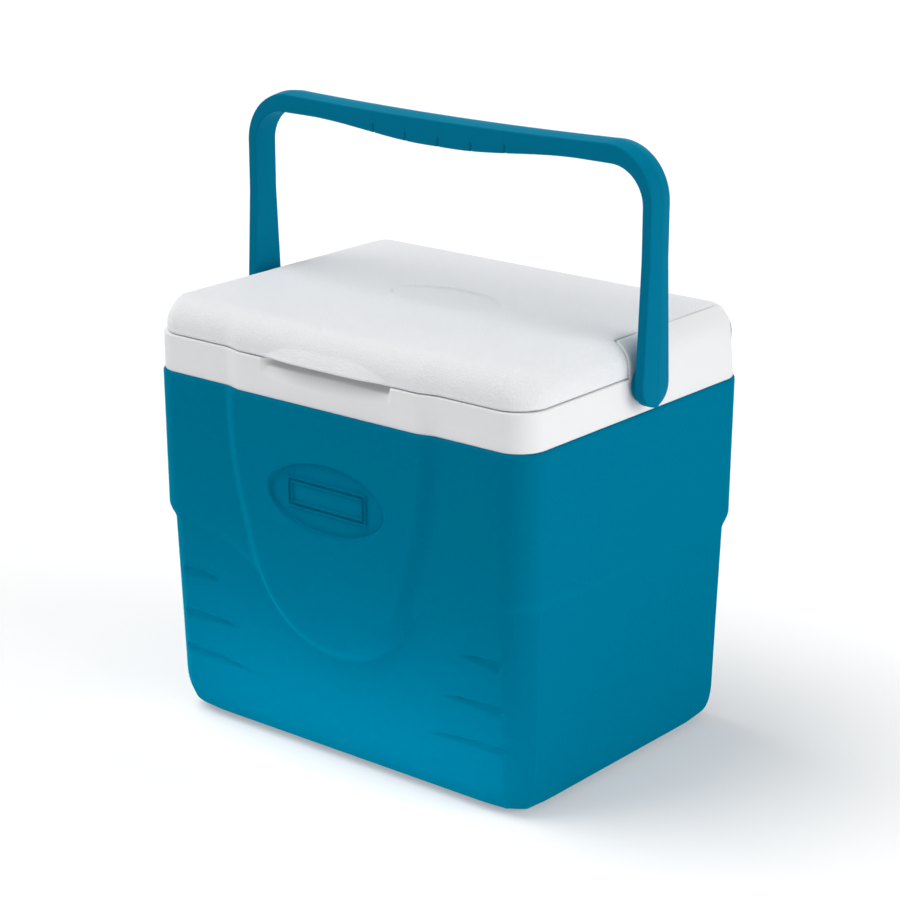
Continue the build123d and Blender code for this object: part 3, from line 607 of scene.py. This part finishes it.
def lid_reach(inset, z, thickness=0.0):
    """Reach of the cover's surface at height z, where its rounded form stands inset from its outline."""
    growth = LID_CORNER_GROWTH[0] + LID_CORNER_GROWTH[1] * smooth(ROUND_FOOT, ROUND_FOOT + 9, z)
    growth *= 1 - (inset / TOP_ROUND) ** 4
    form = LID_CORNER + lid_bulge - inset - thickness - end_soft - growth * front_corner_share
    down = np.clip(HINGE_Z - z, 0, HINGE_CLEAR)
    rear_limit = HINGE_Y - lid_core_y - LID_SHIFT + np.sqrt(HINGE_CLEAR**2 - down**2) - thickness
    rear = np.where(lid_out[:, 1] > 0.05, rear_limit / np.maximum(lid_out[:, 1], 0.05), 60)
    form = -soft_max(-form, -rear, 0.3)
    form = -soft_max(-form, -(notch_reach - thickness), 0.3)
    below = np.clip(LIP_FOOT + LIP_ROUND - z, 0, LIP_ROUND)
    under = LIP_ROUND - np.sqrt(LIP_ROUND**2 - below**2)
    lip = soft_max(0, blunt_arc(lid_x, LIP_HALF_X, LIP_REACH) - LIP_LEAN * (z - LIP_FOOT) - 1.6 * under, 0.15)
    return form + np.where(lid_front_side, lip, 0)


print("notched stations:", int(notched.sum()), "- hinge at", HINGE_Y.round(1), HINGE_Z.round(1))

# %% Lid: the mesh
LID_OVAL = (-1.0, 0.0, 40.0, 20.0)
LID_OVAL_DEPTH = 1.5


def lid_ring(reach, z):
    return ring(lid_cores, lid_out, reach, z)


def oval_ring(scale, z):
    """The lid's oval, met by the stations in even turns."""
    turn = np.arctan2(lid_y / lid_high[1], lid_x / lid_high[0])
    x = LID_OVAL[0] + LID_OVAL[2] * scale * np.cos(turn)
    y = LID_OVAL[1] + LID_OVAL[3] * scale * np.sin(turn)
    return np.stack([x, y, z + 0 * x], axis=1)


inner_round = TOP_ROUND - LID_WALL
rings = [oval_ring(0.2, LID_CREST - LID_WALL - 1), oval_ring(1.5, LID_CREST - LID_WALL - 1)]
for angle in np.radians([90, 60, 30, 0]):
    z = ROUND_FOOT + inner_round * sin(angle)
    rings.append(lid_ring(lid_reach(inner_round * (1 - cos(angle)), z, LID_WALL), z))
rings += [lid_ring(lid_reach(0, LID_BOTTOM + 0.3, LID_WALL), LID_BOTTOM + 0.3),
          lid_ring(lid_reach(LID_WALL - 0.4, LID_BOTTOM), LID_BOTTOM)]
for angle in np.radians([0, 30, 60, 90]):
    z = LID_BOTTOM + LID_EDGE * (1 - cos(angle))
    rings.append(lid_ring(lid_reach(LID_EDGE * (1 - sin(angle)), z), z))
for z in spread(LID_BOTTOM + LID_EDGE, ROUND_FOOT, 0.4)[1:]:
    rings.append(lid_ring(lid_reach(0, z), z))
for angle in np.radians(spread(0, 90, 3))[1:]:
    z = ROUND_FOOT + TOP_ROUND * sin(angle)
    rings.append(lid_ring(lid_reach(TOP_ROUND * (1 - cos(angle)), z), z))
edge, oval = rings[-1], oval_ring(1.03, LID_CREST)
rings += [edge + (oval - edge) * share for share in (0.04, 0.3, 0.6, 0.9)]
oval_floor = LID_CREST - LID_OVAL_DEPTH
rings += [oval_ring(1.03, LID_CREST), oval_ring(1.0, LID_CREST - 0.06),
          oval_ring(0.985, LID_CREST - LID_OVAL_DEPTH / 2), oval_ring(0.97, oval_floor + 0.06)]
rings += [oval_ring(scale, oval_floor) for scale in (0.94, 0.5, 0.1)]
skin("lid_top", rings, "lid", "lid_plastic", ["lid_cover"])

# %% [markdown]
# ## The handle
# The bail is a moulded hoop. Its section has a flat inner face and two outer facets that meet in a
# ridge, which stiffens it. The section is swept from one eye over the bar to the other, and the bar
# hangs lower in the middle to fill the hand. Short grooves in the grip keep fingers from slipping.

# %% Handle: the line of its outer and inner faces
PIVOT_Z = frame["joints"][1]["pos_m"][2] / MM
BAIL_HALF_X, BAIL_TOP = bail_high[0], bail_high[2]
EYE_RADIUS, LEG_HALF, LEG_THICK = 12.8, 9.2, 7.4
EYE_TOP = PIVOT_Z + 72.0
BEND_RADIUS, INNER_BEND_RADIUS, BAR_END_HEIGHT = 33.0, 22.0, 12.4
BEND_OUT = (BAIL_HALF_X - BEND_RADIUS, BAIL_TOP - BEND_RADIUS, BEND_RADIUS)
BEND_IN = (BAIL_HALF_X - LEG_THICK - INNER_BEND_RADIUS, BAIL_TOP - BAR_END_HEIGHT - INNER_BEND_RADIUS,
           INNER_BEND_RADIUS)
CROWN_DROP, GRIP_DROP = 2.1, 6.1
GROOVE_PITCH, GROOVE_HALF, GROOVE_DEPTH = 24.6, 0.75, 0.9


def bail_station(outer, inner, half, groove=0.0):
    return (*outer, *inner, half, groove)


path = []
for angle in np.radians(spread(0, 88, 6))[::-1]:
    z = PIVOT_Z - EYE_RADIUS * sin(angle)
    path.append(bail_station((BAIL_HALF_X, z), (BAIL_HALF_X - LEG_THICK, z), EYE_RADIUS * cos(angle)))
for z in spread(PIVOT_Z, BEND_OUT[1], 4)[1:-1]:
    half = LEG_HALF + (EYE_RADIUS - LEG_HALF) * max(0, (EYE_TOP - z) / (EYE_TOP - PIVOT_Z))
    path.append(bail_station((BAIL_HALF_X, z), (BAIL_HALF_X - LEG_THICK, z), half))
for angle in np.radians(spread(0, 90, 3)):
    outer = [BEND_OUT[k] + BEND_OUT[2] * f(angle) for k, f in ((0, cos), (1, sin))]
    inner = [BEND_IN[k] + BEND_IN[2] * f(angle) for k, f in ((0, cos), (1, sin))]
    path.append(bail_station(outer, inner, LEG_HALF))
groove_steps = np.array([-1.6, -1, -0.6, 0, 0.6, 1, 1.6]) * GROOVE_HALF
bar_places = np.unique(np.concatenate([spread(0, BEND_OUT[0], 3.2)] + [GROOVE_PITCH * k + groove_steps
                                                                       for k in range(3)]).round(3))
for x in bar_places[(bar_places >= 0) & (bar_places < BEND_OUT[0] - 1)][::-1]:
    top_z = BAIL_TOP - CROWN_DROP * (1 - (x / BEND_OUT[0]) ** 2)
    under_z = BAIL_TOP - BAR_END_HEIGHT - GRIP_DROP * (1 - smooth(10, 102, x))
    nearest = abs(x - GROOVE_PITCH * min(2, round(x / GROOVE_PITCH)))
    groove = float(1 - smooth(0.4, 1.5, nearest / GROOVE_HALF))
    path.append(bail_station((x, top_z), (x, under_z), LEG_HALF, groove))
right_half = np.array(path)
left_half = right_half[::-1][1:] * [-1, 1, -1, 1, 1, 1]
bail_path = np.vstack([right_half, left_half])
print("handle stations:", len(bail_path))

# %% Handle: the section, swept
EDGE_ROUND, BEVEL_ROUND, RIDGE, CREASE = 1.0, 1.0, 1.2, 0.4
GROOVE_HEIGHT = 5.2


def bail_section(outer_x, outer_z, inner_x, inner_z, half, groove):
    """A loop of points from the ridge round to the ridge again: (x, y, z)."""
    outer, inner = np.array([outer_x, outer_z]), np.array([inner_x, inner_z])
    thick = np.linalg.norm(outer - inner)
    small = min(1.0, half / 4)
    front = []              # (depth below the outer line, distance out along y)
    front += [(CREASE * small, 0.0), (0.0, 0.45 * small), (0.5 * RIDGE * small, half * 0.5)]
    bevel, round_in, ridge = BEVEL_ROUND * small, EDGE_ROUND * small, RIDGE * small
    front += [(ridge * 0.95, half - bevel * 1.15)]
    front += [(ridge + bevel * (1 - cos(a)), half - bevel * (1 - sin(a)))
              for a in np.radians([25, 50, 75, 90])]
    deep = [max(thick - h, ridge + bevel + 0.1) for h in (GROOVE_HEIGHT + 0.8, GROOVE_HEIGHT - 0.5, 3.0)]
    front += [(d, half - groove * GROOVE_DEPTH * (number > 0)) for number, d in enumerate(deep)]
    front += [(thick - round_in * (1 - sin(a)), half - round_in * (1 - cos(a)) - groove * GROOVE_DEPTH)
              for a in np.radians([0, 30, 60, 90])]
    front += [(thick - groove * 0.5, half * 0.5)]
    middle = [(thick - groove * 0.5, 0.0)]
    loop = [(d, -y) for d, y in front] + middle + [(d, y) for d, y in front[:0:-1]]
    loop = np.array(loop)
    along = (inner - outer) / thick
    plan = outer + along * loop[:, :1]
    return np.stack([plan[:, 0], loop[:, 1], plan[:, 1]], axis=1)


rings = [bail_section(*place) for place in bail_path]
skin("bail", rings, "handle", "handle_plastic", ["carry_handle"])
for name, side in (("left", -1), ("right", 1)):
    turn = np.radians(spread(0, 360, 5)[:-1]) * side
    profile = [(BAIL_HALF_X - LEG_THICK + 1, 11.2), (142.6, 11.2), (142.0, 10.95), (141.75, 10.4),
               (141.75, 6.5), (143.2, 6.1), (143.2, 1.0)]
    discs = [np.stack([x * side + 0 * turn, r * np.sin(turn), PIVOT_Z + r * np.cos(turn)], axis=1)
             for x, r in profile]
    skin(f"hub_{name}", discs, "handle", "handle_plastic")

# %% [markdown]
# ## Finishes
# Moulded plastic carries the texture of its mould. A fine pebble grain hides scuffs and sink marks, so
# one node group makes a grain height and a slow change of tone, and each plastic takes as much of them
# as its mould shows. The group works in object coordinates, so the grain keeps its size on every piece.

# %% Finishes: a node group for moulded grain
def link(tree, source, target):
    tree.links.new(source, target)


def grain_group():
    group = bpy.data.node_groups.new("moulded_grain", "ShaderNodeTree")
    for name, default in (("Grain Size", 0.0011), ("Tone Size", 0.09), ("Tone Range", 0.03)):
        socket = group.interface.new_socket(name, in_out="INPUT", socket_type="NodeSocketFloat")
        socket.default_value = default
    for name in ("Height", "Tone", "Roughness Shift"):
        group.interface.new_socket(name, in_out="OUTPUT", socket_type="NodeSocketFloat")
    nodes = group.nodes
    given, made = nodes.new("NodeGroupInput"), nodes.new("NodeGroupOutput")
    place = nodes.new("ShaderNodeTexCoord")

    def noise(size, detail, kind="ShaderNodeTexNoise"):
        per_metre = nodes.new("ShaderNodeMath")
        per_metre.operation = "DIVIDE"
        per_metre.inputs[0].default_value = 1.0
        link(group, size, per_metre.inputs[1])
        texture = nodes.new(kind)
        link(group, place.outputs["Object"], texture.inputs["Vector"])
        link(group, per_metre.outputs[0], texture.inputs["Scale"])
        texture.inputs["Detail"].default_value = detail
        return texture

    grain = noise(given.outputs["Grain Size"], 1.5)
    pebble = nodes.new("ShaderNodeMapRange")
    pebble.interpolation_type = "SMOOTHSTEP"
    pebble.inputs["From Min"].default_value, pebble.inputs["From Max"].default_value = 0.35, 0.68
    link(group, grain.outputs[0], pebble.inputs["Value"])
    link(group, pebble.outputs["Result"], made.inputs["Height"])
    slow = noise(given.outputs["Tone Size"], 2.0)
    centred = nodes.new("ShaderNodeMath")
    centred.operation = "SUBTRACT"
    centred.inputs[1].default_value = 0.5
    link(group, slow.outputs[0], centred.inputs[0])
    for name, base in (("Tone", 1.0), ("Roughness Shift", 0.0)):
        shift = nodes.new("ShaderNodeMath")
        shift.operation = "MULTIPLY_ADD"
        shift.inputs[2].default_value = base
        link(group, centred.outputs[0], shift.inputs[0])
        link(group, given.outputs["Tone Range"], shift.inputs[1])
        link(group, shift.outputs[0], made.inputs[name])
    return group


GRAIN = grain_group()
print("group sockets:", [item.name for item in GRAIN.interface.items_tree])

# %% Finishes: the plastics and the foam
def plastic(name, colour, roughness, specular, grain_size, grain_depth, tone=0.03, sheen=0.0):
    """A moulded plastic. colour is linear, and grain_size and grain_depth are in millimetres."""
    material = bpy.data.materials.new(name)
    material.use_nodes = True
    tree = material.node_tree
    shader = tree.nodes["Principled BSDF"]
    shader.inputs["Specular IOR Level"].default_value = specular
    shader.inputs["Sheen Weight"].default_value = sheen
    shader.inputs["Sheen Roughness"].default_value = 0.5
    shader.inputs["Sheen Tint"].default_value = (0.0, 0.75, 1.0, 1)
    grain = tree.nodes.new("ShaderNodeGroup")
    grain.node_tree = GRAIN
    grain.inputs["Grain Size"].default_value = grain_size * MM
    grain.inputs["Tone Range"].default_value = tone
    tint = tree.nodes.new("ShaderNodeMix")
    tint.data_type, tint.blend_type = "RGBA", "MULTIPLY"
    tint.inputs["Factor"].default_value = 1.0
    tint.inputs[6].default_value = (*colour, 1)
    link(tree, grain.outputs["Tone"], tint.inputs[7])
    link(tree, tint.outputs[2], shader.inputs["Base Color"])
    rough = tree.nodes.new("ShaderNodeMath")
    rough.inputs[1].default_value = roughness
    link(tree, grain.outputs["Roughness Shift"], rough.inputs[0])
    link(tree, rough.outputs[0], shader.inputs["Roughness"])
    bump = tree.nodes.new("ShaderNodeBump")
    bump.inputs["Distance"].default_value = grain_depth * MM
    link(tree, grain.outputs["Height"], bump.inputs["Height"])
    link(tree, bump.outputs["Normal"], shader.inputs["Normal"])
    return material


TEAL = (0.0, 0.15, 0.265)
FINISHES = {
    "shell_plastic": plastic("teal_shell", TEAL, 0.5, 0.0, 1.0, 0.06, 0.05, 0.27),
    "handle_plastic": plastic("teal_handle", TEAL, 0.45, 0.01, 0.9, 0.02, 0.04, 0.27),
    "liner_plastic": plastic("white_liner", (0.77, 0.77, 0.78), 0.5, 0.1, 1.0, 0.02),
    "lid_plastic": plastic("white_lid", (0.77, 0.78, 0.80), 0.55, 0.1, 1.1, 0.16),
    "pin_plastic": plastic("white_pin", (0.78, 0.78, 0.79), 0.45, 0.3, 1.0, 0.01),
    "foam": plastic("insulation_foam", (0.72, 0.62, 0.42), 0.9, 0.1, 1.6, 0.25, 0.12),
}
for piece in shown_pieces():
    if piece.name in frame["nodes"]:
        node_slots = {"lid_liner": "liner_plastic", "lid_insulation": "foam"}
        finish = node_slots.get(piece.name, "pin_plastic")
    else:
        finish = piece["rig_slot"]
    piece.data.materials.clear()
    piece.data.materials.append(FINISHES[finish])
    piece.modifiers.new("weighted normals", "WEIGHTED_NORMAL")

# %% [markdown]
# ## Stage and light
# The cooler stands on a white floor that runs off into a white backdrop. A wide soft sun from the upper
# left lights the top and gives the floor its shadow, and a second one from the right lifts that side.
# Three low cards stand in for the light that a bright studio floor throws back at the walls.

# %% Stage: floor, backdrop and lamps
WORLD_LEVEL = 0.346
FLOOR_ALBEDO, FLOOR_SEEN_ALBEDO, FLOOR_GLOW = 0.7, 0.78, 0.24
SUNS = [  # name, direction it comes from, strength and angular size in degrees
    ("key_sun", (-0.9, -0.42, 1.6), 2.1, 50),
    ("right_sun", (0.974, 0.22, 0.2), 1.92, 50),
]
LAMPS = [  # name, place, target, width, height and power
    ("front_card", (-0.1, -0.9, 0.05), (0, -0.1, 0.08), 0.8, 0.8, 1.6),
    ("front_strip", (0, -0.175, 0.012), (0, -0.105, 0.022), 0.30, 0.035, 0.105),
    ("right_card", (0.65, -0.1, 0.02), (0.14, 0, 0.05), 0.45, 0.3, 0.9),
]

floor_mesh = bpy.data.meshes.new("floor")
floor_mesh.from_pydata([(x, y, 0) for x, y in ((-8, -8), (8, -8), (8, 8), (-8, 8))], [], [(0, 1, 2, 3)])
floor = bpy.data.objects.new("floor", floor_mesh)
floor.location.z = cad_box[0].z - 0.0002
bpy.context.scene.collection.objects.link(floor)
paper = bpy.data.materials.new("white_floor")
paper.use_nodes = True
tree = paper.node_tree
shader = tree.nodes["Principled BSDF"]
shader.inputs["Roughness"].default_value = 0.9
shader.inputs["Specular IOR Level"].default_value = 0.0
shader.inputs["Emission Color"].default_value = (1, 1, 1, 1)
path_kind = tree.nodes.new("ShaderNodeLightPath")
glow = tree.nodes.new("ShaderNodeMath")
glow.operation = "MULTIPLY"
glow.inputs[1].default_value = FLOOR_GLOW
link(tree, path_kind.outputs["Is Camera Ray"], glow.inputs[0])
link(tree, glow.outputs[0], shader.inputs["Emission Strength"])
paper_tone = tree.nodes.new("ShaderNodeMix")
paper_tone.data_type = "RGBA"
paper_tone.inputs[6].default_value = (FLOOR_ALBEDO, FLOOR_ALBEDO, FLOOR_ALBEDO, 1)
paper_tone.inputs[7].default_value = (FLOOR_SEEN_ALBEDO, FLOOR_SEEN_ALBEDO, FLOOR_SEEN_ALBEDO, 1)
link(tree, path_kind.outputs["Is Camera Ray"], paper_tone.inputs["Factor"])
link(tree, paper_tone.outputs[2], shader.inputs["Base Color"])
floor_mesh.materials.append(paper)

world = bpy.data.worlds.new("white_backdrop")
bpy.context.scene.world = world
world.use_nodes = True
tree = world.node_tree
background = tree.nodes["Background"]
background.inputs["Color"].default_value = (1, 1, 1, 1)
path_kind = tree.nodes.new("ShaderNodeLightPath")
seen = path_kind.outputs["Is Camera Ray"]
for kind in ("Is Glossy Ray", "Is Transmission Ray"):
    either = tree.nodes.new("ShaderNodeMath")
    either.operation = "MAXIMUM"
    link(tree, seen, either.inputs[0])
    link(tree, path_kind.outputs[kind], either.inputs[1])
    seen = either.outputs[0]
level = tree.nodes.new("ShaderNodeMath")
level.operation = "MULTIPLY_ADD"
level.inputs[1].default_value, level.inputs[2].default_value = 1 - WORLD_LEVEL, WORLD_LEVEL
link(tree, seen, level.inputs[0])
link(tree, level.outputs[0], background.inputs["Strength"])


def add_lamp(name, kind, place, target, energy):
    """A lamp of that kind at a place, turned to its target."""
    lamp = bpy.data.lights.new(name, kind)
    lamp.energy = energy
    holder = bpy.data.objects.new(name, lamp)
    holder.location = place
    holder.rotation_euler = (Vector(target) - holder.location).to_track_quat("-Z", "Y").to_euler()
    bpy.context.scene.collection.objects.link(holder)
    return lamp


for name, source, strength, spread_angle in SUNS:
    add_lamp(name, "SUN", source, (0, 0, 0), strength).angle = radians(spread_angle)
for name, place, target, width, height, power in LAMPS:
    lamp = add_lamp(name, "AREA", place, target, power)
    lamp.shape, lamp.size, lamp.size_y = "RECTANGLE", width, height
bpy.context.scene.view_settings.view_transform = "Standard"
print("lamps:", [lamp[0] for lamp in SUNS + LAMPS])
